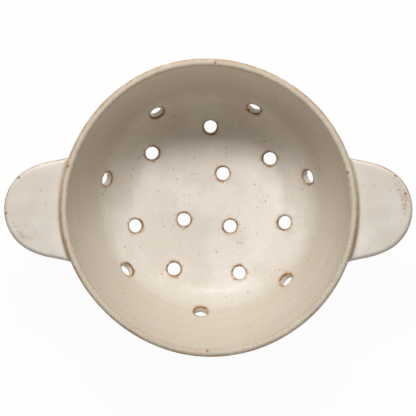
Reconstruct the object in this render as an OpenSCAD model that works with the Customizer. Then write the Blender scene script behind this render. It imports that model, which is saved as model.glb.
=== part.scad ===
// Stoneware colander bowl for rinsing berries. A thrown bowl stands on a foot
// ring, is pierced by three rings of drain holes, and has a slab lug on each side.
// Millimetres. The origin is on the table, under the middle of the bowl.
// X runs through both lugs and Z is up.

/* [Bowl] */
// Outer diameter of the rim
rim_d = 165; // [156:1:185]
// Height from the table to the top of the rim
bowl_h = 66; // [58:1:76]
// Thickness of the thrown wall and floor
wall_t = 4.2; // [3.4:0.1:5]
// Radius of the shallow floor, out to where the wall begins to rise
floor_r = 44; // [41:0.5:48]
// Radius of the flat in the middle of the floor
well_r = 8; // [6:0.5:9]
// Depth of the flat below the edge of the floor
dish_depth = 2.7; // [1.5:0.1:4]
// Inside radius of the bend from floor to wall
bend_r = 26; // [22:0.5:30]

/* [Foot ring] */
// How far inside the edge of the floor the foot ring stands
foot_in = 8; // [7.5:0.5:11]
// Width of the foot ring where it stands on the table
foot_w = 5; // [3.5:0.5:6]
// Height of the middle of the underside above the table
foot_h = 3.6; // [3.3:0.1:5]
// How far each side of the foot ring leans in towards the table
foot_lean = 0.8; // [0.3:0.1:1.2]
// Radius on the standing edges of the foot ring
foot_edge_r = 1; // [0.5:0.1:1.4]
// Radius of the slip worked in between the foot ring and the floor
foot_fillet_r = 1.6; // [1:0.1:1.8]

/* [Drain holes] */
// Diameter of a drain hole between its two mouths
hole_d = 7.6; // [6:0.1:8.6]
// Radius on the eased mouths of a drain hole
mouth_r = 1; // [0.6:0.1:1.4]
// Number of holes in the middle of the floor
middle_holes = 3; // [3:1:4]
// Radius of the ring of holes in the middle of the floor
middle_ring_r = 18.3; // [17:0.1:19.5]
// Number of holes in the ring round the floor, and in the ring in the wall
ring_holes = 7; // [6:1:8]
// How far past the edge of the floor the ring of holes round it lies
floor_ring_out = 0.5; // [0:0.1:2]
// Slope of the inside of the bowl, in degrees, where the ring of holes in the wall opens
wall_ring_slope = 54; // [48:0.5:57]

/* [Lug handles] */
// Width of a lug across its rounded end
lug_w = 51.5; // [42:0.5:56]
// How far a lug reaches out past the rim
lug_reach = 31.4; // [29:0.1:36]
// Thickness of a lug at the wall
lug_t = 9; // [7:0.5:11]
// How much thinner a lug is at its tip
lug_taper = 2; // [0.5:0.5:3]
// Height of the rim above the top of a lug
lug_drop = 5; // [3.5:0.5:8]
// How far both lugs sit to one side of the middle of the bowl
lug_off = 1.3; // [0:0.1:2]
// How far the top of a lug sinks from the wall to the tip
lug_sink = 1.6; // [0:0.2:3]
// How far each side of a lug flares out towards the wall
lug_flare = 4.2; // [2:0.2:6]
// How far in the edge of a lug begins to round over
lug_nose = 3.4; // [2:0.2:5]
// Radius of the slip worked in where the top of a lug meets the wall
lug_top_fillet = 2; // [1:0.2:3]
// Radius of the slip worked in where the underside of a lug meets the wall
lug_under_fillet = 5; // [3:0.5:7]

/* [Hidden] */
$fn = 96;

// The glaze, and the bare clay that the foot ring stands on
glaze = [0.87, 0.83, 0.77];
bare_clay = [0.70, 0.58, 0.45];

// How far a cutting shape runs past what it cuts
overrun = 1;

// The inside is a flat and three arcs, each running on from the last: the dished floor,
// the bend and the rising wall. Angles are the slope of the face.
function along(centre, r, slope) = centre + r * [sin(slope), -cos(slope)];
function arc(centre, r, from, to, steps) =
    [for (k = [0:steps]) along(centre, r, from + (to - from) * k / steps)];
function flip(points) = [for (i = [len(points) - 1:-1:0]) points[i]];

// Straight steps that each arc is drawn in
dish_steps = 4;
bend_steps = 12;
wall_steps = 9;
lip_steps = 12;

dish_w = floor_r - well_r;
dish_r = (dish_w ^ 2 + dish_depth ^ 2) / (2 * dish_depth);
dish_slope = asin(dish_w / dish_r);
dish_centre = [well_r, foot_h + wall_t + dish_r];

// The bend turns through this share of the straight climb from the floor to the rim
bend_turn_share = 1.02;
bend_centre = along(dish_centre, dish_r - bend_r, dish_slope);
lip_r = wall_t / 2;
lip_centre = [rim_d / 2 - lip_r, bowl_h - lip_r];
climb = lip_centre - along(dish_centre, dish_r + lip_r, dish_slope);
bend_slope = bend_turn_share * atan2(climb.y, climb.x);

// The middle of the wall leaves the bend at its slope and runs to the centre of the lip
wall_start = along(bend_centre, bend_r + lip_r, bend_slope);
wall_chord = lip_centre - wall_start;
inward = [-sin(bend_slope), cos(bend_slope)];
wall_mid_r = (wall_chord * wall_chord) / (2 * (wall_chord * inward));
wall_centre = wall_start + wall_mid_r * inward;
wall_r = wall_mid_r - lip_r;
lip_slope = atan2(lip_centre.x - wall_centre.x, wall_centre.y - lip_centre.y);

// The face of the clay, deep millimetres under the inside of the bowl
function dish_face(deep) = arc(dish_centre, dish_r + deep, 0, dish_slope, dish_steps);
function bend_face(deep) = arc(bend_centre, bend_r + deep, dish_slope, bend_slope, bend_steps);
function wall_face(deep) = arc(wall_centre, wall_r + deep, bend_slope, lip_slope, wall_steps);
function whole_face(deep) = [
    [0, dish_face(deep)[0].y],
    each dish_face(deep),
    for (i = [1:bend_steps]) bend_face(deep)[i],
    for (i = [1:wall_steps]) wall_face(deep)[i],
];

// Outside radius of the bowl at a height on the rising wall
function outside_r(z) = wall_centre.x + sqrt((wall_r + wall_t) ^ 2 - (z - wall_centre.y) ^ 2);

// Half section of the thrown bowl, with its full round lip
module bowl_section() {
    lip = arc(lip_centre, lip_r, lip_slope, lip_slope + 180, lip_steps);
    polygon([
        each whole_face(wall_t),
        for (i = [1:lip_steps - 1]) lip[i],
        each flip(whole_face(0)),
    ]);
}

// A round hole along Z whose inner mouth is at 0 and outer mouth at -wall_t.
// Each mouth eases out in straight steps round a quarter turn that is cut short.
mouth_turn = 62;
mouth_steps = 2;

module hole_cutter() {
    hole_r = hole_d / 2;
    ease = [
        for (k = [0:mouth_steps])
            let (a = mouth_turn * k / mouth_steps)
                [hole_r + mouth_r * (1 - cos(a)), mouth_r * (sin(a) - 1)],
    ];
    last = ease[mouth_steps];
    mouth = [each ease, [last.x + (overrun - last.y) * tan(mouth_turn), overrun]];
    rotate_extrude($fn = 32) polygon([
        [0, -wall_t - overrun],
        for (p = flip(mouth)) [p.x, -wall_t - p.y],
        each mouth,
        [0, overrun],
    ]);
}

// Pierces square through the clay at a radius on the inside of the bowl
module pierce(r, turn) {
    span = r <= floor_r ? [dish_centre, dish_r]
        : r <= bend_face(0)[bend_steps].x ? [bend_centre, bend_r]
        : [wall_centre, wall_r];
    slope = asin((r - span[0].x) / span[1]);
    at = along(span[0], span[1], slope);
    rotate([0, 0, turn]) translate([at.x, 0, at.y]) rotate([0, -slope, 0]) hole_cutter();
}

// The holes are pierced by hand, so each strays from its even place in the ring.
// Radii are shares of the ring's own radius, and turns are shares of the even spacing.
middle_r_shares = [1.082, 0.945, 0.973];
middle_turn_shares = [-0.092, 0.117, -0.026];
floor_r_shares = [1.022, 1, 1.022, 0.984, 0.968, 1.011, 1.01];
floor_turn_shares = [0.018, 0.029, 0.01, 0.037, 0.056, -0.062, 0.066];
wall_r_shares = [1.006, 0.978, 1.015, 1.015, 0.992, 1, 1.005];
wall_turn_shares = [-0.016, -0.06, 0.109, 0.086, 0.008, 0.029, -0.074];

// Direction of the first hole of each ring, in degrees from X
middle_first = 77;
floor_first = 90;
wall_first = floor_first - 180 / ring_holes;

module hole_ring(count, ring_r, first, r_shares, turn_shares, step) {
    for (k = [0:count - 1]) {
        i = k % len(r_shares);
        pierce(ring_r * r_shares[i], first + step * (k + turn_shares[i]));
    }
}

module drain_holes() {
    floor_ring_r = floor_r + floor_ring_out;
    wall_ring_r = along(bend_centre, bend_r, wall_ring_slope).x;
    hole_ring(middle_holes, middle_ring_r, middle_first,
        middle_r_shares, middle_turn_shares, 360 / middle_holes);
    hole_ring(ring_holes, floor_ring_r, floor_first,
        floor_r_shares, floor_turn_shares, -360 / ring_holes);
    hole_ring(ring_holes, wall_ring_r, wall_first,
        wall_r_shares, wall_turn_shares, -360 / ring_holes);
}

module bowl() {
    color(glaze) difference() {
        rotate_extrude() bowl_section();
        drain_holes();
    }
}

// One side of the foot ring, measured out from its standing width: up round the
// standing edge, and out along the slip to where it meets the underside of the floor
foot_steps = 6;
function foot_side(seat) = [
    each arc([-foot_edge_r, foot_edge_r], foot_edge_r, 0, 90, foot_steps),
    each flip(arc([foot_lean + foot_fillet_r, seat - foot_fillet_r],
        foot_fillet_r, 180, 270, foot_steps)),
];

// Height of the underside of the floor at a radius
function under_z(r) = dish_centre.y - sqrt((dish_r + wall_t) ^ 2 - (r - dish_centre.x) ^ 2);

// A coil of clay turned to a ring and seated on the underside of the floor
module foot_ring() {
    outer = floor_r - foot_in;
    inner = outer - foot_w;
    spread = foot_lean + foot_fillet_r;
    in_clay = under_z(outer + spread) + wall_t / 2;
    color(bare_clay) rotate_extrude() difference() {
        polygon([
            for (p = foot_side(under_z(outer + spread))) [outer + p.x, p.y],
            [outer + spread, in_clay],
            [inner - spread, in_clay],
            for (p = flip(foot_side(under_z(inner - spread)))) [inner - p.x, p.y],
        ]);
        polygon([each whole_face(wall_t), [0, bowl_h]]);
    }
}

// A lug is drawn as closed outlines stacked from its underside, out round its edge and
// back over its top. Every outline runs from inside the wall, round the tip, and back.
tip_steps = 31;
edge_steps = 10;
tip_r = lug_w / 2;
tip_centre = rim_d / 2 + lug_reach - tip_r;
lug_top = bowl_h - lug_drop;
lug_root = outside_r(lug_top);
lug_bury = wall_t / 2;

// Height that a worked-in slip adds at a distance clear of the wall
function slip(clear, r) = clear >= r ? 0 : r - sqrt(r ^ 2 - (r - max(0, clear)) ^ 2);

// Height at a place on a lug. The level is -1 on the underside, 1 on the top and between
// them on the edge.
function lug_z(p, level) =
    let (
        clear = norm(p) - lug_root,
        out = max(0, clear) / (rim_d / 2 + lug_reach - lug_root),
        top = lug_top - lug_sink * out ^ 2,
        under = top - lug_t + lug_taper * out,
        high = top + slip(clear, lug_top_fillet),
        low = under - slip(clear, lug_under_fillet)
    )
    (high + low) / 2 + level * (high - low) / 2;

// Stations along each side, as shares of the way from the wall to the tip's centre.
// The share of -1 stands for the end that is buried in the wall.
side_shares = [-1, 0, 0.06, 0.16, 0.32, 0.6, 1];

// A point on the side of an outline, which is inset from the edge and then narrowed to the
// middle line. Near the wall it leans with the wall.
function side_point(share, inset, narrow, level) =
    let (
        run = max(0, share),
        y = (tip_r + lug_flare * (1 - run) ^ 2 - inset) * narrow,
        root_x = sqrt((share < 0 ? lug_root - lug_bury : lug_root) ^ 2 - y ^ 2),
        x = root_x + run * (tip_centre - root_x),
        z = lug_z([x, y], level)
    )
    [x + (outside_r(z) - lug_root) * (1 - run), y, z];

function tip_point(turn, inset, narrow, level) =
    let (p = [tip_centre, 0] + (tip_r - inset) * narrow * [cos(turn), sin(turn)])
    [p.x, p.y, lug_z(p, level)];

function lug_outline(inset, narrow, level) =
    let (side = [for (s = side_shares) side_point(s, inset, narrow, level)])
    [
        each side,
        for (k = [1:tip_steps - 1]) tip_point(90 - 180 * k / tip_steps, inset, narrow, level),
        for (p = flip(side)) [p.x, -p.y, p.z],
    ];

// Inset, narrowing and level of each outline
narrow_shares = [0.25, 0.6, 0.85];
lug_layers = [
    for (s = narrow_shares) [lug_nose, s, -1],
    for (k = [0:edge_steps])
        let (a = -90 + 180 * k / edge_steps) [lug_nose * (1 - cos(a)), 1, sin(a)],
    for (s = flip(narrow_shares)) [lug_nose, s, 1],
];

module lug_solid() {
    rings = [for (l = lug_layers) lug_outline(l[0], l[1], l[2])];
    n = len(rings[0]);
    m = len(rings);
    function at(k, i) = k * n + i % n;
    sides = [
        for (k = [0:m - 2], i = [0:n - 1])
            each [
                [at(k, i), at(k, i + 1), at(k + 1, i + 1)],
                [at(k, i), at(k + 1, i + 1), at(k + 1, i)],
            ],
    ];
    // The middle strip of the underside and of the top is laced from side to side
    laces = [
        for (i = [0:n / 2 - 2])
            each [
                [at(0, i), at(0, n - 1 - i), at(0, i + 1)],
                [at(0, i + 1), at(0, n - 1 - i), at(0, n - 2 - i)],
                [at(m - 1, i), at(m - 1, i + 1), at(m - 1, n - 1 - i)],
                [at(m - 1, i + 1), at(m - 1, n - 2 - i), at(m - 1, n - 1 - i)],
            ],
    ];
    polyhedron([for (r = rings) each r], concat(sides, laces));
}

// A slab lug, luted to the wall just under the rim on the +X side
module lug() {
    wall = wall_face(wall_t);
    color(glaze) difference() {
        translate([0, -lug_off, 0]) lug_solid();
        rotate_extrude() polygon([
            [0, wall[0].y],
            each wall,
            [0, wall[wall_steps].y],
        ]);
    }
}

module right_handle() {
    lug();
}

module left_handle() {
    mirror([1, 0, 0]) lug();
}

bowl();
foot_ring();
left_handle();
right_handle();
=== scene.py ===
import bmesh
import bpy
import mathutils
import numpy as np
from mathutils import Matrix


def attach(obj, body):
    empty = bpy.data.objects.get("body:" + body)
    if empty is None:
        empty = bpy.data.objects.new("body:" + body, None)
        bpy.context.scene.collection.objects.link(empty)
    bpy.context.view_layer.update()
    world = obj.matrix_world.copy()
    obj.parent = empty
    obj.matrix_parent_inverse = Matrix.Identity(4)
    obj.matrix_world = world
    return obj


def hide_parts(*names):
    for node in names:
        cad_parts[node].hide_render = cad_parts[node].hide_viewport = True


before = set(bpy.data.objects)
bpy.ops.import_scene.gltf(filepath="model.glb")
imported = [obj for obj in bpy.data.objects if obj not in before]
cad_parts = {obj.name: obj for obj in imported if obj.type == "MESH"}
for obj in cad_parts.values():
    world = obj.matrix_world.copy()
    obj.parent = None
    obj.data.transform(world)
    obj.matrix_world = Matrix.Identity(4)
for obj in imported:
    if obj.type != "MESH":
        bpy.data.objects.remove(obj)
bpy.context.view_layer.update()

print("frame loaded, now the shape of the clay")


# shapes are formulas, in millimetres
def runOn(centre, radius, slope):
    # the point of a circle where its face has this slope: the centre, plus the radius
    # times the sine outward and the cosine down
    return np.stack([centre[0] + radius * np.sin(slope), centre[1] - radius * np.cos(slope)], -1)


def hump(value, strength, middle, width):
    # a bell curve: the strength, times e to minus the square of the distance over the width
    return strength * np.exp(-((value - middle) / width) ** 2)


# The bowl. The glaze on it thins, pools and shows painted highlights in humps, each a strength, a middle and
# a width, in radians round the lip from its outside or in millimetres from the middle of the floor
thrown = dict(rim=165.0, height=66.0, wall=4.2, floorRadius=44.0, wellRadius=8.0, dishDepth=2.7,
              bendRadius=26.0, bendTurn=1.02, footHeight=3.6, segments=240, rowStep=1.1, lipSteps=18,
              wellRows=[0.7, 1.6, 2.7, 4.0, 5.3, 6.6, 8.0], arcEnd=0.9999,
              lipThin=0.25, shoulderThin=(0.33, 0.75, 0.45), crestSheen=(-0.14, 1.85, 0.3),
              innerThin=0.28, outerThin=0.40, thinReach=2.6, cornerSheen=(0.2, 39.0, 4.6),
              wellPale=0.6, paleRadius=7.5, poolPower=4, lipInside=0.8, grainUp=1.2, grainRound=0.1)

# the inside runs on from a flat well by three arcs: the dished floor, the bend and the wall,
# which ends square to the lip's half circle
dishWidth = thrown["floorRadius"] - thrown["wellRadius"]
dishRadius = (dishWidth ** 2 + thrown["dishDepth"] ** 2) / (2 * thrown["dishDepth"])
dishSlope = np.arcsin(dishWidth / dishRadius)
dishCentre = np.array([thrown["wellRadius"], thrown["footHeight"] + thrown["wall"] + dishRadius])
bendCentre = runOn(dishCentre, dishRadius - thrown["bendRadius"], dishSlope)
lipRadius = thrown["wall"] / 2
lipCentre = np.array([thrown["rim"] / 2 - lipRadius, thrown["height"] - lipRadius])
climb = lipCentre - runOn(dishCentre, dishRadius + lipRadius, dishSlope)
bendSlope = thrown["bendTurn"] * np.arctan2(climb[1], climb[0])
wallStart = runOn(bendCentre, thrown["bendRadius"] + lipRadius, bendSlope)
wallInward = np.array([-np.sin(bendSlope), np.cos(bendSlope)])
wallChord = lipCentre - wallStart
wallRadius = wallChord @ wallChord / (2 * wallChord @ wallInward)
wallCentre = wallStart + wallRadius * wallInward
lipSlope = np.arctan2(lipCentre[0] - wallCentre[0], wallCentre[1] - lipCentre[1])
# each arc is its centre, its radius inside the bowl, and its slope at the start and the end
arcs = [(dishCentre, dishRadius, 0.0, dishSlope),
        (bendCentre, thrown["bendRadius"], dishSlope, bendSlope),
        (wallCentre, wallRadius - lipRadius, bendSlope, lipSlope)]


def clayHeight(radius, deep):
    # height and steepness of the face deep millimetres under the inside, at each radius:
    # a flat, then the lower half of three circles, each from where the last one ends. The
    # share stays under 1, so that the steepness stays finite
    height = np.full_like(radius, thrown["footHeight"] + thrown["wall"] - deep)
    steep = np.zeros_like(radius)
    for centre, reach, start, _ in arcs:
        reach = reach + deep
        share = np.clip((radius - centre[0]) / reach, -thrown["arcEnd"], thrown["arcEnd"])
        level = np.sqrt(1 - share ** 2)
        past = radius > centre[0] + reach * np.sin(start)
        height = np.where(past, centre[1] - reach * level, height)
        steep = np.where(past, share / level, steep)
    return height, steep


def outsideRadius(height):
    # radius of the rising wall's outer face at each height, from its circle
    centre, reach = arcs[2][0], arcs[2][1] + thrown["wall"]
    return centre[0] + np.sqrt(reach ** 2 - (height - centre[1]) ** 2)


wander = dict(waves=[0, 1, 2, 3, 4, 5], cosines=[0.18, -0.03, -0.05, -0.05, 0.12, -0.12],
              sines=[0.0, -0.17, -0.42, 0.05, 0.14, -0.05], dip=0.35, dipTurn=0.7,
              none=8.0, full=60.0, power=1.5)


def handThrown(points):
    # pushes each point out along its radius by a few waves round the bowl, and lowers it
    # by one, both growing from nothing low down to their full size near the rim
    x, y, z = points.T
    turn = np.arctan2(y, x)
    grow = np.clip((z - wander["none"]) / (wander["full"] - wander["none"]), 0, 1) ** wander["power"]
    waves = np.array(wander["waves"])[:, None] * turn
    push = np.array(wander["cosines"]) @ np.cos(waves) + np.array(wander["sines"]) @ np.sin(waves)
    dip = wander["dip"] * (np.cos(2 * turn + wander["dipTurn"]) - 1) / 2
    return np.stack([x + grow * push * np.cos(turn), y + grow * push * np.sin(turn), z + grow * dip], -1)


def revolve(profile):
    # every point of the profile, a radius and a height, turned round the axis row by row,
    # and the number of each point in that grid
    turns = 2 * np.pi * np.arange(thrown["segments"]) / thrown["segments"]
    points = np.stack([profile[:, :1] * np.cos(turns), profile[:, :1] * np.sin(turns),
                       np.repeat(profile[:, 1:], len(turns), 1)], -1).reshape(-1, 3)
    return points, np.arange(len(points)).reshape(len(profile), -1)


def closedBands(index):
    # quads between each row of points and the next, closed round the rows
    ahead = np.roll(index, -1, 1)
    return np.stack([index[:-1], index[1:], ahead[1:], ahead[:-1]], -1)


weldReach = 2e-6  # metres


def makePiece(name, points, faces, material, node, slot, weld=False, **fields):
    # puts arrays of points and faces in a mesh, in metres, with a value or a vector per point
    mesh = bpy.data.meshes.new(name)
    mesh.from_pydata((points / 1000).tolist(), [], faces)
    for field, values in fields.items():
        kind, key = ("FLOAT_VECTOR", "vector") if values.ndim == 2 else ("FLOAT", "value")
        layer = mesh.attributes.new(field, kind, "POINT")
        layer.data.foreach_set(key, values.astype(np.float32).ravel())
    if weld:
        shell = bmesh.new()
        shell.from_mesh(mesh)
        bmesh.ops.remove_doubles(shell, verts=shell.verts, dist=weldReach)
        bmesh.ops.recalc_face_normals(shell, faces=shell.faces)
        shell.to_mesh(mesh)
        shell.free()
    mesh.shade_smooth()
    mesh.materials.append(material)
    piece = bpy.data.objects.new(name, mesh)
    bpy.context.collection.objects.link(piece)
    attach(piece, "root")
    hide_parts(node)
    triangles = sum(len(face.vertices) - 2 for face in mesh.polygons)
    print(name, len(mesh.vertices), "points", triangles, "triangles")


def linear(code):
    # sRGB hex to linear colour
    value = np.array([int(code[k:k + 2], 16) for k in (0, 2, 4)]) / 255
    return (*np.where(value <= 0.04045, value / 12.92, ((value + 0.055) / 1.055) ** 2.4).tolist(), 1.0)


def add(tree, kind, inputs=None, **settings):
    # one node, with its settings, and with a value or a link for each named input
    made = tree.nodes.new("ShaderNode" + kind)
    for key, value in settings.items():
        setattr(made, key, value)
    for key, value in (inputs or {}).items():
        if isinstance(value, bpy.types.NodeSocket):
            tree.links.new(value, made.inputs[key])
        else:
            made.inputs[key].default_value = value
    return made


def newMaterial(name):
    # a material and its node tree, with no node in it yet
    material = bpy.data.materials.new(name)
    material.use_nodes = True
    material.node_tree.nodes.clear()
    return material, material.node_tree


# Stoneware under a poured satin glaze, fired till iron in the clay bled through: it is cream
# with soft cloudy tones, tan specks, and rust brown where the glaze ran thin on edges. Lengths
# are in millimetres. A Noise is its size, detail and roughness. A Range is where a pattern or
# a field starts to show and where it shows in full, and a Share is how much it shows there
glazeLook = dict(
    pale="eae4dc", warm="dfd7cc", grey="dcd8d2", lean="d1c8b9", pooledAndSheen="ece8e0", groove="c0b29e",
    tan="b99548", rust="a0622c", breakTan="b18b62", breakDark="744a20",
    cloudNoise=(24.0, 3.0, 0.55), cloudTurn=(-1.0, 1.0, 1.0), cloudRange=(0.38, 0.64),
    streakNoise=(3.4, 3.0, 0.6), streakRange=(0.45, 0.75), streakShare=0.55,
    mottleNoise=(1.3, 2.0, 0.6), mottleRange=(0.5, 0.8), mottleShare=0.35,
    bandNoise=(7.5, 3.0, 0.6), bandRange=(0.36, 0.64), bandShare=0.84,
    leanFrom=14.5, leanTo=29.0, leanTilt=0.08,
    clusterNoise=(26.0, 2.0, 0.5), clusterRange=(0.40, 0.62), clusterShare=0.5,
    speckSpacing=3.1, speckRadii=(0.13, 0.33), raggedRange=(0.3, 0.7), raggedRadii=(0.75, 1.25),
    faintRange=(0.3, 1.0), faintShares=(0.22, 0.92),
    crumbRange=(0.5, 0.64), crumbShare=0.6, crumbThin=(0.05, 0.3),
    unevenNoise=(9.0, 3.0, 0.65), fineNoise=(1.8, 2.0, 0.6), unevenShare=0.55, fineShare=0.45,
    bareRange=(0.36, 0.62), bareShares=(0.35, 1.15), tanRange=(0.05, 0.75), tanShare=0.9,
    darkRange=(0.62, 1.05), darkShare=0.85,
    paleThin=(0.0, -1.0), paleRange=(0.36, 0.62), paleShare=0.55, grooveRange=(0.3, 0.7), grooveShare=0.75,
    ironSpots=[(-78.0, 23.1, 65.6), (76.7, 19.5, 65.5), (3.3, 80.3, 66.0), (-1.0, -79.6, 65.9),
               (103.8, 17.7, 59.9), (109.3, 7.7, 59.8), (-106.0, 16.6, 59.2), (-113.2, -3.2, 58.5)],
    ironSize=1.05, ironCore=0.35, ironShare=0.92, ironTall=0.5,
    waveDepth=0.05, peelNoise=(2.2, 2.0, 0.5), peelDepth=0.02,
    dullness=0.62, dullSpread=0.04, dullRange=(0.3, 0.7), speckDullness=0.15,
    refraction=1.5, shine=0.2, gloss=0.075, glossRoughness=0.17)


def glazedStoneware():
    # cream tones first, then what lies on them from the weakest to the strongest
    look = glazeLook
    material, tree = newMaterial("glazedStoneware")
    place = add(tree, "TexCoord").outputs["Object"]
    grain = add(tree, "Attribute", attribute_name="grain").outputs["Vector"]
    thin = add(tree, "Attribute", attribute_name="thin").outputs["Fac"]

    def noise(vector, pattern):
        # the named pattern, a value near a half that waves once in about its size
        size, detail, rough = look[pattern]
        return add(tree, "TexNoise", {"Vector": vector, "Scale": 1000 / size, "Detail": detail,
                                      "Roughness": rough}).outputs["Fac"]

    def between(value, limits, start=0.0, end=1.0):
        # start up to the first limit, end from the second one, and a smooth step from one to the other
        return add(tree, "MapRange", {"Value": value, "From Min": limits[0], "From Max": limits[1],
                                      "To Min": start, "To Max": end},
                   interpolation_type="SMOOTHSTEP").outputs["Result"]

    def sums(operation, first, second):
        # one sum of two values
        return add(tree, "Math", {0: first, 1: second}, operation=operation).outputs[0]

    def painted(tone, amount, colour):
        # the tone with this much of a named colour laid over it
        return add(tree, "Mix", {0: amount, 6: tone, 7: linear(look[colour])}, data_type="RGBA").outputs[2]

    # the clouds are mirrored, so that the pale ones lie nearest the photographed bowl's own
    turned = add(tree, "VectorMath", {0: place, 1: look["cloudTurn"]}, operation="MULTIPLY").outputs["Vector"]
    cloud = noise(turned, "cloudNoise")
    streak = noise(grain, "streakNoise")
    mottle = noise(place, "mottleNoise")
    tone = painted(linear(look["pale"]), between(cloud, look["cloudRange"]), "warm")
    tone = painted(tone, between(streak, look["streakRange"], 0.0, look["streakShare"]), "grey")
    tone = painted(tone, between(mottle, look["mottleRange"], 0.0, look["mottleShare"]), "warm")

    # poured glaze pools pale on the floor and runs lean and warmer on the steep inside wall, from a level
    # that is a little lower towards -Y and a little higher towards +Y
    parts = add(tree, "SeparateXYZ", {"Vector": place}).outputs
    height = sums("SUBTRACT", parts["Z"], sums("MULTIPLY", parts["Y"], look["leanTilt"]))
    lean = sums("MULTIPLY", between(height, (look["leanFrom"] / 1000, look["leanTo"] / 1000)),
                add(tree, "Attribute", attribute_name="inside").outputs["Fac"])
    bands = between(noise(grain, "bandNoise"), look["bandRange"], 1.0, look["bandShare"])
    tone = painted(tone, sums("MULTIPLY", lean, bands), "lean")

    # specks: a point in each cell of a random pattern, present in some cells, more in clusters
    cluster = between(noise(place, "clusterNoise"), look["clusterRange"], look["clusterShare"], 1.0)
    cells = add(tree, "TexVoronoi", {"Vector": place, "Scale": 1000 / look["speckSpacing"],
                                     "Randomness": 1.0})
    pick = add(tree, "SeparateColor", {"Color": cells.outputs["Color"]}).outputs
    size = between(pick["Green"], (0.0, 1.0), *look["speckRadii"])
    ragged = sums("MULTIPLY", size, between(mottle, look["raggedRange"], *look["raggedRadii"]))
    fleck = between(sums("DIVIDE", cells.outputs["Distance"], ragged), (0.0, 1.0))
    fleck = sums("MULTIPLY", sums("SUBTRACT", 1.0, fleck), sums("LESS_THAN", pick["Red"], cluster))
    fleck = sums("MULTIPLY", fleck, between(pick["Blue"], look["faintRange"], *look["faintShares"]))
    tone = painted(tone, fleck, "tan")

    # the glaze breaks brown where it thins over an edge, unevenly, and in fine crumbs beside it
    crumbs = sums("MULTIPLY", between(mottle, look["crumbRange"], 0.0, look["crumbShare"]),
                  between(thin, look["crumbThin"]))
    tone = painted(tone, crumbs, "tan")
    uneven = sums("ADD", sums("MULTIPLY", noise(place, "unevenNoise"), look["unevenShare"]),
                  sums("MULTIPLY", noise(grain, "fineNoise"), look["fineShare"]))
    bare = sums("MULTIPLY", thin, between(uneven, look["bareRange"], *look["bareShares"]))
    tone = painted(tone, between(bare, look["tanRange"], 0.0, look["tanShare"]), "breakTan")
    tone = painted(tone, between(bare, look["darkRange"], 0.0, look["darkShare"]), "breakDark")

    # a field below zero is paler, where the glaze stands thick and where a highlight is painted, and the
    # joint of a lug holds a darker line of painted shade
    poolingAndSheen = sums("MULTIPLY", between(thin, look["paleThin"]),
                   between(cloud, look["paleRange"], 1.0, look["paleShare"]))
    tone = painted(tone, poolingAndSheen, "pooledAndSheen")
    # the joint of a lug gets a darker line of painted shade
    groove = sums("MULTIPLY", add(tree, "Attribute", attribute_name="groove").outputs["Fac"],
                  between(uneven, look["grooveRange"], 1.0, look["grooveShare"]))
    tone = painted(tone, groove, "groove")

    # the few larger spots of iron, each at its own place on the rim or on a lug
    flatter = (1.0, 1.0, look["ironTall"])
    shallow = add(tree, "VectorMath", {0: place, 1: flatter}, operation="MULTIPLY").outputs["Vector"]
    core, edge = look["ironCore"] * look["ironSize"] / 1000, look["ironSize"] / 1000
    for spot in look["ironSpots"]:
        centre = [value * share / 1000 for value, share in zip(spot, flatter)]
        away = add(tree, "VectorMath", {0: shallow, 1: centre}, operation="DISTANCE").outputs["Value"]
        tone = painted(tone, between(away, (core, edge), look["ironShare"], 0.0), "rust")

    # the skin of the glaze: soft waves over the throwing lines, a fine orange peel, and a thin
    # satin gloss over a duller body
    wave = add(tree, "Bump", {"Height": streak, "Strength": 1.0,
                              "Distance": look["waveDepth"] / 1000}).outputs["Normal"]
    peel = add(tree, "Bump", {"Height": noise(place, "peelNoise"), "Strength": 1.0,
                              "Distance": look["peelDepth"] / 1000, "Normal": wave}).outputs["Normal"]
    dull = between(cloud, look["dullRange"], look["dullness"] - look["dullSpread"],
                   look["dullness"] + look["dullSpread"])
    dull = sums("ADD", dull, sums("MULTIPLY", fleck, look["speckDullness"]))
    surface = add(tree, "BsdfPrincipled", {"Base Color": tone, "Roughness": dull, "Normal": peel,
                                           "IOR": look["refraction"], "Specular IOR Level": look["shine"],
                                           "Coat Weight": look["gloss"], "Coat Normal": peel,
                                           "Coat Roughness": look["glossRoughness"]})
    tree.links.new(surface.outputs["BSDF"], add(tree, "OutputMaterial").inputs["Surface"])
    return material


# Bare stoneware, wiped clean of glaze and fired: warm buff, dry and slightly gritty
clayLook = dict(pale="c2a583", deep="a98a68", grit="7d6147", cloudSize=9.0, cloudDetail=2.0, gritSize=0.9,
                gritDetail=3.0, gritRange=(0.55, 0.75), gritShare=0.5, gritDepth=0.06, dullness=0.85,
                refraction=1.5)


def bareStoneware():
    # two buff tones in soft clouds, with darker raised grit in them
    look = clayLook
    material, tree = newMaterial("bareStoneware")
    place = add(tree, "TexCoord").outputs["Object"]
    cloud = add(tree, "TexNoise", {"Vector": place, "Scale": 1000 / look["cloudSize"],
                                   "Detail": look["cloudDetail"]}).outputs["Fac"]
    grit = add(tree, "TexNoise", {"Vector": place, "Scale": 1000 / look["gritSize"],
                                  "Detail": look["gritDetail"]}).outputs["Fac"]
    dark = add(tree, "MapRange", {"Value": grit, "From Min": look["gritRange"][0],
                                  "From Max": look["gritRange"][1], "To Max": look["gritShare"]})
    tone = add(tree, "Mix", {0: cloud, 6: linear(look["pale"]), 7: linear(look["deep"])}, data_type="RGBA")
    tone = add(tree, "Mix", {0: dark.outputs["Result"], 6: tone.outputs[2], 7: linear(look["grit"])},
               data_type="RGBA")
    rough = add(tree, "Bump", {"Height": grit, "Strength": 1.0, "Distance": look["gritDepth"] / 1000})
    surface = add(tree, "BsdfPrincipled", {"Base Color": tone.outputs[2], "Roughness": look["dullness"],
                                           "Normal": rough.outputs["Normal"], "IOR": look["refraction"]})
    tree.links.new(surface.outputs["BSDF"], add(tree, "OutputMaterial").inputs["Surface"])
    return material


# the wall's holes lie where the bend has this slope, and each outer ring has seven holes
wallHoleSlope, outerHoles = np.radians(54.0), 7

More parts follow.
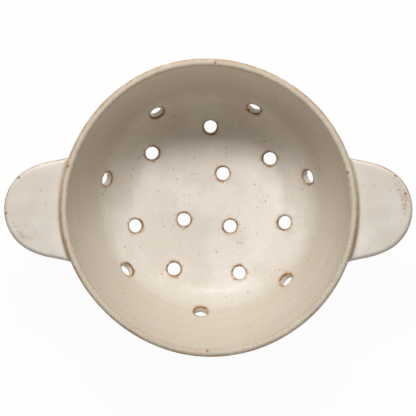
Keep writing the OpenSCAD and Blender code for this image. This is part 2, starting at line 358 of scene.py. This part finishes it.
# the holes, pierced by hand: radii are shares of the ring's own radius, and turns are shares
# of the even spacing. Thin values run from the clay round the mouth to its edge, and then
# over the edge into the throat
pierced = dict(holeRadius=3.8, mouthRadius=1.0, margin=6.4, spread=[0.30, 0.56, 0.78, 0.92],
               mouth=[90.0, 66.0, 44.0, 22.0, 0.0], throat=[0.33, 0.67],
               wobble=[(2, 0.014, 1.9), (3, 0.010, 2.7)], seatSteps=8,
               haloThin=[0.0, 0.08, 0.24, 0.42], mouthThin=[0.56, 0.96, 0.98, 0.5, 0.12],
               throatThin=-0.25, outsideShare=0.78, insideFade=3,
               rings=[dict(radius=18.3, first=77.0, step=120.0, radii=[1.082, 0.945, 0.973],
                           turns=[-0.092, 0.117, -0.026]),
                      dict(radius=44.5, first=90.0, step=-360 / outerHoles,
                           radii=[1.022, 1.0, 1.022, 0.984, 0.968, 1.011, 1.01],
                           turns=[0.018, 0.029, 0.01, 0.037, 0.056, -0.062, 0.066]),
                      dict(radius=float(runOn(bendCentre, thrown["bendRadius"], wallHoleSlope)[0]),
                           first=90.0 - 180 / outerHoles, step=-360 / outerHoles,
                           radii=[1.006, 0.978, 1.015, 1.015, 0.992, 1.0, 1.005],
                           turns=[-0.016, -0.06, 0.109, 0.086, 0.008, 0.029, -0.074])])


def holeLoops(radius, angle, serial, near, far):
    # loops of points that lead from the cut in the inside face, over the clay to the hole's
    # eased mouth, down its throat and out to the cut in the outside face
    height, steep = clayHeight(np.array([radius]), 0.0)
    slope, top = np.arctan(steep[0]), height[0]

    def local(points):
        # millimetres up the slope and round the bowl from the hole's middle
        x, y, z = points.T
        ahead = x * np.cos(angle) + y * np.sin(angle) - radius
        return np.stack([ahead * np.cos(slope) + (z - top) * np.sin(slope),
                         y * np.cos(angle) - x * np.sin(angle)])

    def onFace(spot, deep, further=0.0):
        # slides each spot along the hole's axis till it lies on the face deep millimetres
        # into the clay, the miss over the steepness at each step, and then further inward
        up, around = spot
        lift = np.full_like(up, -deep)
        for _ in range(pierced["seatSteps"]):
            x = radius + up * np.cos(slope) - lift * np.sin(slope)
            z = top + up * np.sin(slope) + lift * np.cos(slope)
            flat = np.hypot(x, around)
            face, steepness = clayHeight(flat, deep)
            lift = lift - (z - face) / (np.cos(slope) + steepness * np.sin(slope) * x / flat)
        lift = lift + further
        x = radius + up * np.cos(slope) - lift * np.sin(slope)
        return np.stack([x * np.cos(angle) - around * np.sin(angle),
                         x * np.sin(angle) + around * np.cos(angle),
                         top + up * np.sin(slope) + lift * np.cos(slope)], -1)

    near, far = local(near), local(far)
    phase = np.arctan2(near[1], near[0])
    uneven = 1 + sum(size * np.sin(waves * phase + serial * shift)
                     for waves, size, shift in pierced["wobble"])
    circle = uneven * np.stack([np.cos(phase), np.sin(phase)])
    mouth = np.radians(pierced["mouth"])
    reaches = pierced["holeRadius"] + pierced["mouthRadius"] * (1 - np.cos(mouth))
    drops = pierced["mouthRadius"] * (1 - np.sin(mouth))
    edge = reaches[0] * circle
    wall = thrown["wall"]
    above = [onFace(near + (edge - near) * share, 0.0) for share in pierced["spread"]]
    above += [onFace(reach * circle, 0.0, -drop) for reach, drop in zip(reaches, drops)]
    below = [onFace(reach * circle, wall, drop) for reach, drop in zip(reaches[::-1], drops[::-1])]
    below += [onFace(far + (edge - far) * share, wall) for share in pierced["spread"][::-1]]
    throat = [above[-1] + (below[0] - above[-1]) * share for share in pierced["throat"]]
    thins = np.array(pierced["haloThin"] + pierced["mouthThin"])
    return above + throat + below, np.concatenate([thins, np.full(len(throat), pierced["throatThin"]),
                                                   pierced["outsideShare"] * thins[::-1]])


def bowlRows():
    # rows of the inside, centre to lip: each keeps its circle, so that a row can be moved
    # straight into the clay
    flats = np.array(thrown["wellRows"])
    centres = [np.stack([flats, np.full_like(flats, thrown["footHeight"] + thrown["wall"])], -1)]
    reaches, slopes, paths = [np.zeros_like(flats)], [np.zeros_like(flats)], [flats]
    for centre, reach, start, end in arcs:
        steps = int(np.ceil(reach * (end - start) / thrown["rowStep"]))
        slope = start + (end - start) * np.arange(1, steps + 1) / steps
        centres.append(np.tile(centre, (steps, 1)))
        reaches.append(np.full(steps, reach))
        slopes.append(slope)
        paths.append(paths[-1][-1] + reach * (slope - start))
    return np.concatenate(centres), np.concatenate(reaches), np.concatenate(slopes), np.concatenate(paths)


def buildBowl(material):
    # one profile turned round the axis, with the holes cut through its two faces
    centres, reaches, slopes, path = bowlRows()
    segments = thrown["segments"]

    def section(deep):
        # each row where its circle is, grown by deep millimetres
        return centres + (reaches + deep)[:, None] * np.stack([np.sin(slopes), -np.cos(slopes)], -1)

    # the profile: out over the inside, round the lip's half circle and back under the outside
    lipTurn = lipSlope + np.pi * (1 - np.arange(1, thrown["lipSteps"]) / thrown["lipSteps"])
    lip = runOn(lipCentre, lipRadius, lipTurn)
    profile = np.concatenate([section(0.0), lip, section(thrown["wall"])[::-1]])
    rows = len(profile)
    points, index = revolve(profile)

    # the glaze is lean all over the lip, and barest on its outer shoulder; the floor is paler in the middle,
    # and paler in a ring where the wall begins, which is a painted highlight
    over = lipTurn - lipSlope
    # the paler line along the lip's crest is a painted highlight
    lipThin = thrown["lipThin"] + hump(over, *thrown["shoulderThin"]) + hump(over, *thrown["crestSheen"])
    fade = np.clip(1 - (path[-1] - path) / thrown["thinReach"], 0, 1)
    # a ring of paler glaze where the wall begins is a painted highlight; the middle of the floor is paler too
    paleAndSheen = hump(path, *thrown["cornerSheen"])
    paleAndSheen = paleAndSheen + thrown["wellPale"] * np.exp(-(path / thrown["paleRadius"]) ** thrown["poolPower"])
    thinRow = np.concatenate([thrown["innerThin"] * fade - paleAndSheen, lipThin,
                              (thrown["outerThin"] * fade ** 2)[::-1]])
    insideRow = np.concatenate([np.ones(len(path)), np.clip(over / thrown["lipInside"], 0, 1),
                                np.zeros(len(path))])

    # each hole cuts a patch of the grid out of both faces, and its loops close the cut
    keep = np.ones((rows - 1, segments), bool)
    newPoints, newFaces = [points], []
    newThin, newInside = [np.repeat(thinRow, segments)], [np.repeat(insideRow, segments)]
    used = len(points)
    serial = 0
    for ring in pierced["rings"]:
        for order, (share, stray) in enumerate(zip(ring["radii"], ring["turns"])):
            serial += 1
            radius = ring["radius"] * share
            angle = np.radians(ring["first"] + ring["step"] * (order + stray))
            at = np.interp(radius, section(0.0)[:, 0], path)
            first = np.searchsorted(path, at - pierced["margin"], "right") - 1
            last = np.searchsorted(path, at + pierced["margin"], "left")
            half = pierced["margin"] / radius
            left, right = (angle - half) / (2 * np.pi) * segments, (angle + half) / (2 * np.pi) * segments
            across = np.arange(int(np.floor(left)), int(np.ceil(right)) + 1) % segments
            down = np.arange(first, last + 1)
            keep[first:last, across[:-1]] = False
            keep[rows - 1 - last:rows - 1 - first, across[:-1]] = False
            loopRows = np.concatenate([np.full(len(across) - 1, first), down[:-1],
                                       np.full(len(across) - 1, last), down[:0:-1]])
            loopColumns = np.concatenate([across[:-1], np.full(len(down) - 1, across[-1]),
                                          across[:0:-1], np.full(len(down) - 1, across[0])])
            nearLoop = index[loopRows, loopColumns]
            farLoop = index[rows - 1 - loopRows, loopColumns]
            loops, thins = holeLoops(radius, angle, serial, points[nearLoop], points[farLoop])
            size = len(nearLoop)
            ids = used + np.arange(len(loops) * size).reshape(-1, size)
            used += len(loops) * size
            newPoints += loops
            newFaces.append(closedBands(np.vstack([nearLoop, ids, farLoop])).reshape(-1, 4))
            newThin.append(np.repeat(thins, size))
            middle = (len(loops) - 1) / 2
            sides = np.clip(0.5 - (np.arange(len(loops)) - middle) / pierced["insideFade"], 0, 1)
            newInside.append(np.repeat(sides, size))

    # a point on the axis closes the middle of each face with a fan
    poles = np.array([[0, 0, profile[0, 1]], [0, 0, profile[-1, 1]]])
    grid = closedBands(index)[keep]
    ringIn, ringOut = index[0], index[-1]
    fans = np.concatenate([np.stack([np.full(segments, used), ringIn, np.roll(ringIn, -1)], -1),
                           np.stack([np.full(segments, used + 1), np.roll(ringOut, -1), ringOut], -1)])
    faces = grid.tolist() + np.concatenate(newFaces).tolist() + fans.tolist()
    points = np.concatenate([*newPoints, poles])
    thin = np.concatenate([*newThin, [0.0, 0.0]])
    inside = np.concatenate([*newInside, [1.0, 0.0]])
    # throwing lines: the grain is short up the wall and long round it
    grain = np.stack([np.hypot(points[:, 0], points[:, 1]) + points[:, 2] * thrown["grainUp"],
                      points[:, 0] * thrown["grainRound"], points[:, 1] * thrown["grainRound"]], -1) / 1000
    makePiece("thrownBowl", handThrown(points), faces, material, "bowl", "glaze",
              thin=thin, grain=grain, inside=inside)


# the lugs: longer and stain are for the right one (1) and the left one (-1). A stain is its
# strength and its direction from the tip's middle in degrees
luted = dict(width=51.5, reach=31.4, longer={1: -0.2, -1: 0.5}, thick=9.0, taper=2.0, drop=5.0, off=1.3,
             sink=1.6, fuller=1.1, fullerEnd=0.45, splay=2.3, flare=1.2, flarePower=5, nose=2.7,
             topSlip=2.0, underSlip=5.0, bury=2.1, flatSteps=11, sideSteps=22, sideCurve=1.5, tipSteps=64,
             edgeSteps=26, edgeThin=(0.85, 0.38, 0.34), stain={1: (0.46, 14.0), -1: (0.34, -40.0)},
             stainInset=4.4, stainWidth=2.1, stainSpread=34.0, stainLevel=0.5, jointSheen=(0.4, 5.0, 2.0),
             sheenLevel=0.9, jointReach=2.5, jointFade=1.0, grain=(0.8, 0.25, 1.0))


def buildLug(name, node, direction, material):
    # closed outlines, from the middle of the underside out round the edge and back over the
    # top, each running from inside the wall round the tip and back
    tipRadius = luted["width"] / 2
    reach = thrown["rim"] / 2 + luted["reach"] + luted["longer"][direction]
    tipCentre = reach - tipRadius
    lugTop = thrown["height"] - luted["drop"]
    root = outsideRadius(lugTop)
    flat = luted["flatSteps"]
    turn = np.pi * np.arange(1, luted["edgeSteps"]) / luted["edgeSteps"] - np.pi / 2
    narrow = np.linspace(0, 1, flat + 1)[:-1]
    faceInset = np.full(flat + 1, luted["nose"])
    inset = np.concatenate([faceInset, luted["nose"] * (1 - np.cos(turn)), faceInset])[:, None]
    scale = np.concatenate([narrow, np.ones(len(turn) + 2), narrow[::-1]])[:, None]
    level = np.concatenate([np.full(flat + 1, -1.0), np.sin(turn), np.full(flat + 1, 1.0)])[:, None]
    share = np.concatenate([[-1.0], np.linspace(0, 1, luted["sideSteps"]) ** luted["sideCurve"]])[None, :]
    run = np.maximum(share, 0)

    def heights(x, y, level):
        # from the underside at level -1 to the top at level 1, which both curve away from each
        # other in a quarter circle of slip where they near the wall
        clear = np.hypot(x, y) - root
        out = np.maximum(clear, 0) / (reach - root)
        topFace = lugTop - luted["sink"] * out ** 2
        slips = []
        for radius in (luted["topSlip"], luted["underSlip"]):
            left = np.clip(radius - np.maximum(clear, 0), 0, radius)
            slips.append(radius - np.sqrt(radius ** 2 - left ** 2))
        high, low = topFace + slips[0], topFace - luted["thick"] + luted["taper"] * out - slips[1]
        return (high + low) / 2 + level * (high - low) / 2

    # the straight sides, which widen towards the wall, and then the round tip
    widen = luted["splay"] * (1 - run) + luted["flare"] * (1 - run) ** luted["flarePower"]
    y = (tipRadius + luted["fuller"] + widen - inset) * scale
    start = np.sqrt(np.where(share < 0, root - luted["bury"], root) ** 2 - y ** 2)
    x = start + run * (tipCentre - start)
    z = heights(x, y, level)
    x = x + (outsideRadius(z) - root) * (1 - run)
    tip = (np.pi / 2 - np.pi * np.arange(1, luted["tipSteps"]) / luted["tipSteps"])[None, :]
    fuller = luted["fuller"] * np.clip(1 - np.cos(tip) / luted["fullerEnd"], 0, 1) ** 2
    tipX = tipCentre + (tipRadius - inset) * scale * np.cos(tip)
    tipY = (tipRadius + fuller - inset) * scale * np.sin(tip)
    tipZ = heights(tipX, tipY, level)
    points = np.stack([np.concatenate([x, tipX, x[:, ::-1]], 1),
                       np.concatenate([y, tipY, -y[:, ::-1]], 1) - luted["off"],
                       np.concatenate([z, tipZ, z[:, ::-1]], 1)], -1)

    # the end inside the clay follows the wall round, from one side of the lug to the other
    edgeRows = slice(flat, len(level) - flat)
    wide = tipRadius + luted["fuller"] + luted["splay"] + luted["flare"] - inset[edgeRows]
    capY = wide * np.concatenate([[-1], -narrow[:0:-1], narrow, [1]])[None, :]
    capX = np.sqrt((root - luted["bury"]) ** 2 - capY ** 2)
    capZ = heights(capX, capY, level[edgeRows])
    cap = np.stack([capX + outsideRadius(capZ) - root, capY - luted["off"], capZ], -1)

    # the glaze thins in a line round the edge and in a stain inside the tip; beside the wall the top is
    # paler, a painted highlight, and the joint itself is a darker line of painted shade
    tilt = np.arcsin(np.clip(level, -1, 1))
    clear = np.hypot(points[..., 0], points[..., 1]) - outsideRadius(points[..., 2])
    fromEdge = tipRadius - np.hypot(points[..., 0] - tipCentre, points[..., 1])
    side = np.degrees(np.arctan2(points[..., 1], points[..., 0] - tipCentre))
    amount, towards = luted["stain"][direction]
    stain = hump(fromEdge, amount, luted["stainInset"], luted["stainWidth"])
    stain = stain * hump(side, 1.0, towards, luted["stainSpread"]) * (level > luted["stainLevel"])
    # the pale band on the lug's top beside the wall is a painted highlight
    paleAndSheen = hump(clear, *luted["jointSheen"]) * (level > luted["sheenLevel"])
    thin = hump(tilt, *luted["edgeThin"]) * (scale == 1) + stain - paleAndSheen
    # painted shade: darker in the joint where the lug's top meets the wall
    groove = np.clip((luted["jointReach"] - clear) / luted["jointFade"], 0, 1) * (level > 0)

    def patch(rows, columns, first):
        # quads between neighbours in a grid of points, numbered from first
        index = first + np.arange(rows * columns).reshape(rows, columns)
        return np.stack([index[:-1, :-1], index[:-1, 1:], index[1:, 1:], index[1:, :-1]], -1).reshape(-1, 4)

    rings, around = points.shape[:2]
    faces = np.concatenate([patch(rings, around, 0), patch(*cap.shape[:2], rings * around)])
    points = np.concatenate([points.reshape(-1, 3), cap.reshape(-1, 3)]) * [direction, 1, 1]
    buried = np.zeros(cap.size // 3)
    grain = points[:, [1, 0, 2]] * luted["grain"] / 1000
    makePiece(name, handThrown(points), faces.tolist(), material, node, "glaze", weld=True,
              thin=np.concatenate([thin.ravel(), buried]), groove=np.concatenate([groove.ravel(), buried]),
              grain=grain)


foot = dict(inset=8.0, width=5.0, lean=0.8, edge=1.0, fillet=1.6, steps=10)


def buildFoot(material):
    # a ring of clay: up one side from its standing face, out along the slip, and back inside
    # the floor to the other side
    outer = thrown["floorRadius"] - foot["inset"]
    spread = foot["lean"] + foot["fillet"]
    quarter = np.radians(np.linspace(0, 90, foot["steps"]))

    def flank(at, sign):
        # a quarter circle at the table, a hollow one at the floor, and an end in the clay
        base = clayHeight(np.array([at + sign * spread]), thrown["wall"])[0][0]
        edge = runOn([-foot["edge"], foot["edge"]], foot["edge"], quarter)
        slip = runOn([spread, base - foot["fillet"]], foot["fillet"], np.pi + quarter)[::-1]
        up = np.concatenate([edge, slip, [[spread, base + thrown["wall"] / 2]]])
        return np.stack([at + sign * up[:, 0], up[:, 1]], -1)

    profile = np.concatenate([flank(outer, 1), flank(outer - foot["width"], -1)[::-1]])
    points, index = revolve(profile)
    nextRow, nextTurn = np.roll(index, -1, 0), np.roll(index, -1, 1)
    faces = np.stack([index, nextTurn, np.roll(nextRow, -1, 1), nextRow], -1).reshape(-1, 4)
    makePiece("footRing", points, faces.tolist(), material, "foot_ring", "bare_clay", weld=True)


glaze, bareClay = glazedStoneware(), bareStoneware()
buildBowl(glaze)
buildLug("rightLug", "right_handle", 1, glaze)
buildLug("leftLug", "left_handle", -1, glaze)
buildFoot(bareClay)
print("pieces made, now the floor, the light and the camera")

# the room is in metres, degrees and watts. The camera's sensor, a pixel's size at the rim
# and the point that it looks at are in millimetres, and the picture's width is in pixels.
# A glint is its place over the bowl and its two widths
studio = dict(keyPower=11.85, keyDistance=1.15, keyHeight=48.0, keyTurn=4.5, keyWidth=0.60, keyDepth=0.19,
              cardPower=2.2, cardDistance=1.0, cardHeight=12.0, cardTurn=180.0, cardWidth=1.2, cardDepth=0.3,
              lampAim=0.03, sky=0.203, skyTint="fff0de",
              glints=[(0.105, -0.037, 0.092, 0.076), (-0.086, -0.042, 0.092, 0.076),
                      (-0.074, 0.063, 0.070, 0.054)], glintHeight=0.6, glintGlow=98.0, glintAim=0.01,
              floorSize=6.0, floorDrop=0.0001, floorPaint="f2f1ef", floorGlow=0.965,
              cameraDistance=0.90, cameraLean=2.0, sensor=36, picture=416, pixel=0.5535, aimX=-0.69,
              aimY=-0.11, farthest=20)


def whiteFloor():
    # painted board: plain white to the eye, with the bowl's shadow laid faintly over it
    material, tree = newMaterial("whiteBoard")
    seen = add(tree, "LightPath")
    share = add(tree, "Math", {0: seen.outputs["Is Camera Ray"], 1: seen.outputs["Is Glossy Ray"]},
                operation="MAXIMUM")
    share = add(tree, "Math", {0: share.outputs[0], 1: studio["floorGlow"]}, operation="MULTIPLY")
    paint = add(tree, "BsdfDiffuse", {"Color": linear(studio["floorPaint"])})
    glow = add(tree, "Emission", {"Color": (1, 1, 1, 1), "Strength": 1.0})
    both = add(tree, "MixShader", {0: share.outputs[0], 1: paint.outputs[0], 2: glow.outputs[0]})
    tree.links.new(both.outputs[0], add(tree, "OutputMaterial").inputs["Surface"])
    return material


half, below = studio["floorSize"] / 2, -studio["floorDrop"]
board = bpy.data.meshes.new("floorBoard")
board.from_pydata([(-half, -half, below), (half, -half, below), (half, half, below), (-half, half, below)],
                  [], [(0, 1, 2, 3)])
board.materials.append(whiteFloor())
floor = bpy.data.objects.new("floorBoard", board)
bpy.context.collection.objects.link(floor)

# the room is white to the eye and a warm dim grey as a light
world = bpy.data.worlds.new("softRoom")
bpy.context.scene.world = world
world.use_nodes = True
tree = world.node_tree
tree.nodes.clear()
seen = add(tree, "LightPath").outputs["Is Camera Ray"]
level = add(tree, "MapRange", {"Value": seen, "To Min": studio["sky"], "To Max": 1.0})
tint = add(tree, "Mix", {0: seen, 6: linear(studio["skyTint"]), 7: (1, 1, 1, 1)}, data_type="RGBA")
room = add(tree, "Background", {"Color": tint.outputs[2], "Strength": level.outputs["Result"]})
tree.links.new(room.outputs[0], add(tree, "OutputWorld").inputs["Surface"])


def aim(thing, place, target):
    # the thing looks down its own -Z, with its Y towards the picture's top
    back = np.array(place) - np.array(target)
    back /= np.linalg.norm(back)
    side = np.cross([0, 1, 0], back)
    side /= np.linalg.norm(side)
    turned = np.eye(4)
    turned[:3] = np.stack([side, np.cross(back, side), back, place], -1)
    thing.matrix_world = mathutils.Matrix(turned.tolist())


def softLamp(name, shape, wide, deep, power, place, target):
    # a flat lamp of two widths in metres, turned to its target
    lamp = bpy.data.lights.new(name, "AREA")
    lamp.shape, lamp.size, lamp.size_y, lamp.energy = shape, wide, deep, power
    source = bpy.data.objects.new(name, lamp)
    bpy.context.collection.objects.link(source)
    aim(source, place, target)
    return source


# a soft window above the picture's top, and a low white card across from it
for name, part in (("softWindow", "key"), ("whiteCard", "card")):
    rise, turn = np.radians(studio[part + "Height"]), np.radians(studio[part + "Turn"])
    reach = studio[part + "Distance"]
    place = [-reach * np.cos(rise) * np.sin(turn), reach * np.cos(rise) * np.cos(turn),
             studio["lampAim"] + reach * np.sin(rise)]
    softLamp(name, "RECTANGLE", studio[part + "Width"], studio[part + "Depth"], studio[part + "Power"],
             place, [0, 0, studio["lampAim"]])

# small soft lights overhead, which show only as a sheen in the gloss
for serial, (x, y, wide, deep) in enumerate(studio["glints"]):
    glint = softLamp("sheen%d" % serial, "ELLIPSE", wide, deep, studio["glintGlow"] * wide * deep,
                     [x, y, studio["glintHeight"]], [0, 0, studio["glintAim"]])
    glint.visible_diffuse = glint.visible_camera = False

lens = bpy.data.cameras.new("fromAbove")
camera = bpy.data.objects.new("fromAbove", lens)
bpy.context.collection.objects.link(camera)
lean = np.radians(studio["cameraLean"])
target = np.array([studio["aimX"], studio["aimY"], thrown["height"]]) / 1000
aim(camera, target + studio["cameraDistance"] * np.array([0, np.sin(lean), np.cos(lean)]), target)
lens.sensor_width = studio["sensor"]
lens.lens = studio["sensor"] * studio["cameraDistance"] * 1000 / studio["pixel"] / studio["picture"]
lens.clip_end = studio["farthest"]
bpy.context.scene.camera = camera
bpy.context.scene.view_settings.view_transform = "Standard"
